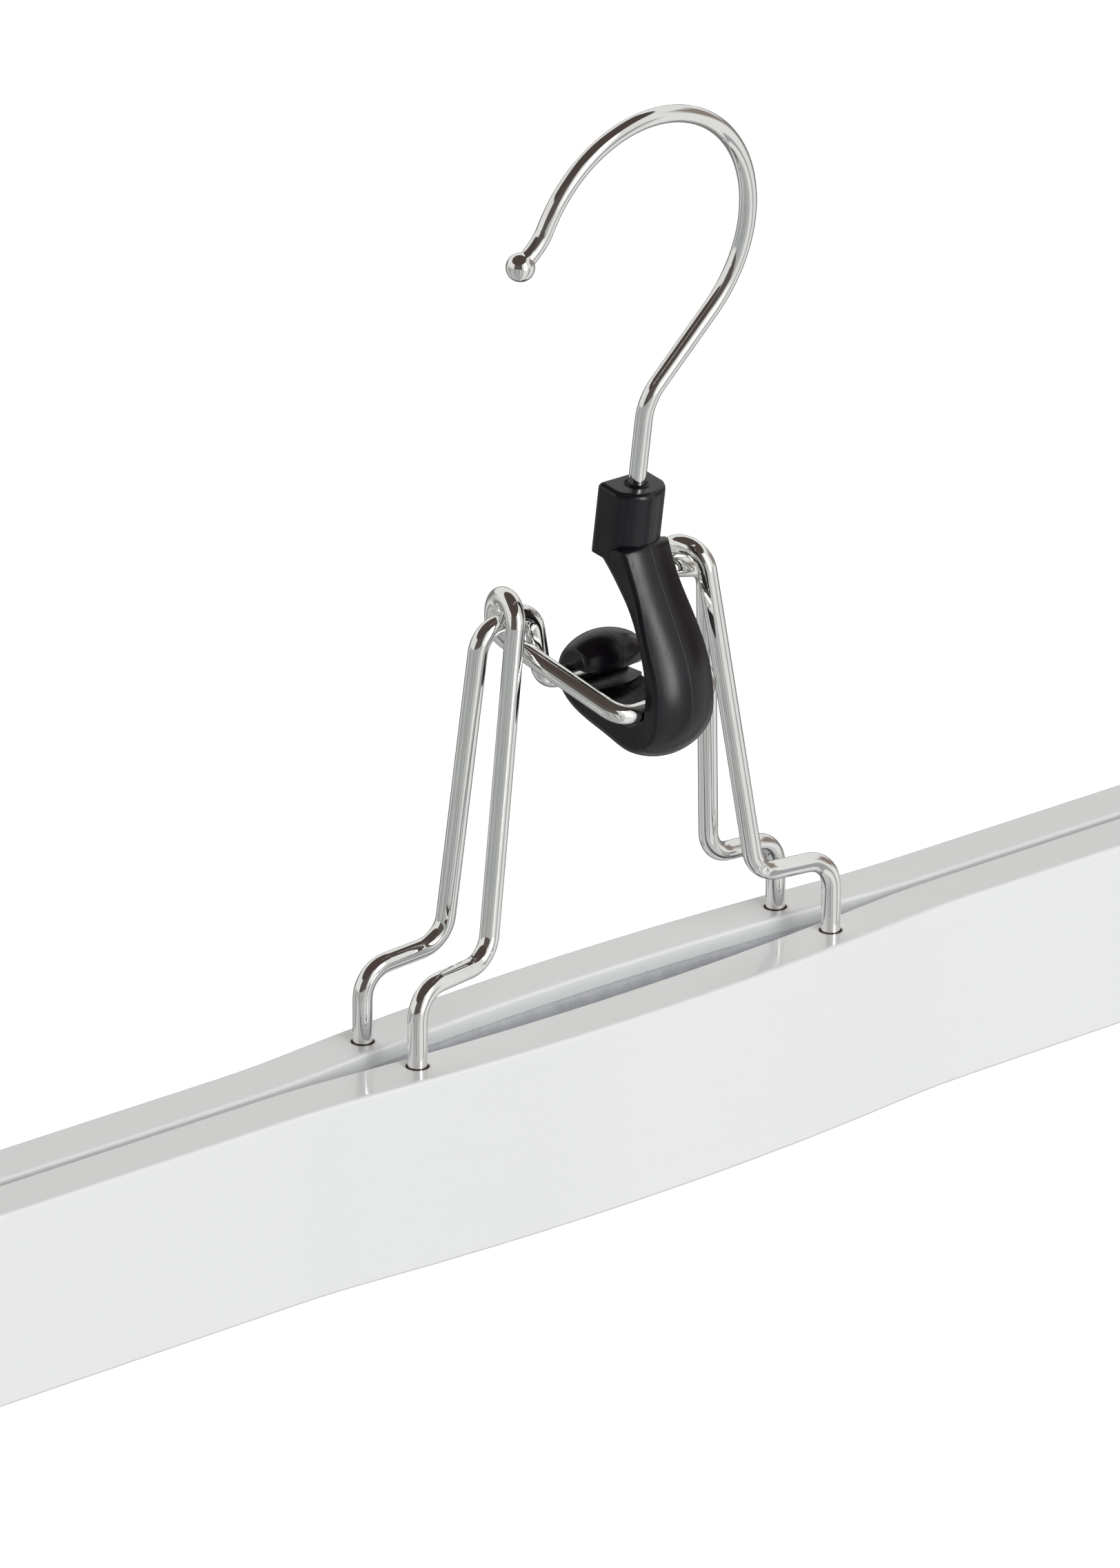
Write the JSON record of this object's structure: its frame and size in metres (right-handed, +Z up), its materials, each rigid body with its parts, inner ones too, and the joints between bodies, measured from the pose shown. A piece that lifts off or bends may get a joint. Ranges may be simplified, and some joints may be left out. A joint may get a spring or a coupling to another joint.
{
  "type": "clamp hanger",
  "caption": "Clamp hanger for trousers and skirts: bowed felt-lined wooden jaws on hinged wire frames, shut by a cam lever that carries a swivelling rail hook.",
  "frame": {"origin": "point at the top of the inside of the hook, where it rests on a rail", "axes": "+X along the jaw bars, +Y towards the back of the hanger, +Z up; the lever folds towards -Y"},
  "size_m": [0.36, 0.0419, 0.216],
  "materials": {
    "lacquered_wood": "white gloss lacquer",
    "felt": "short grey-blue felt",
    "chrome_wire": "bright chrome plating on round steel wire",
    "lever_plastic": "black moulded plastic, satin"
  },
  "bodies": {
    "back_jaw": {"back_bar": "lacquered_wood", "back_lining": "felt", "back_wire_frame": "chrome_wire"},
    "front_jaw": {"front_bar": "lacquered_wood", "front_lining": "felt", "front_wire_frame": "chrome_wire"},
    "lever": {"cam_lever": "lever_plastic"},
    "hook": {"swivel_hook": "chrome_wire"}
  },
  "joints": [
    {"name": "lever_turn", "type": "hinge", "parent": "back_jaw", "child": "lever", "pos_m": [0.00532, 0.02134, -0.11153], "axis": [1, 0, 0], "range_deg": [0, 75]},
    {"name": "jaw_hinge", "type": "hinge", "parent": "back_jaw", "child": "front_jaw", "pos_m": [0.00532, 0.02164, -0.09773], "axis": [-1, 0, 0], "range_deg": [0, 10]},
    {"name": "hook_swivel", "type": "hinge", "parent": "lever", "child": "hook", "pos_m": [0.00532, 0.01024, -0.07283], "axis": [0, -0.1392, 0.9903], "continuous": true}
  ],
  "couplings": [
    {"joint": "jaw_hinge", "follows": "lever_turn", "ratio": 0.13333}
  ]
}
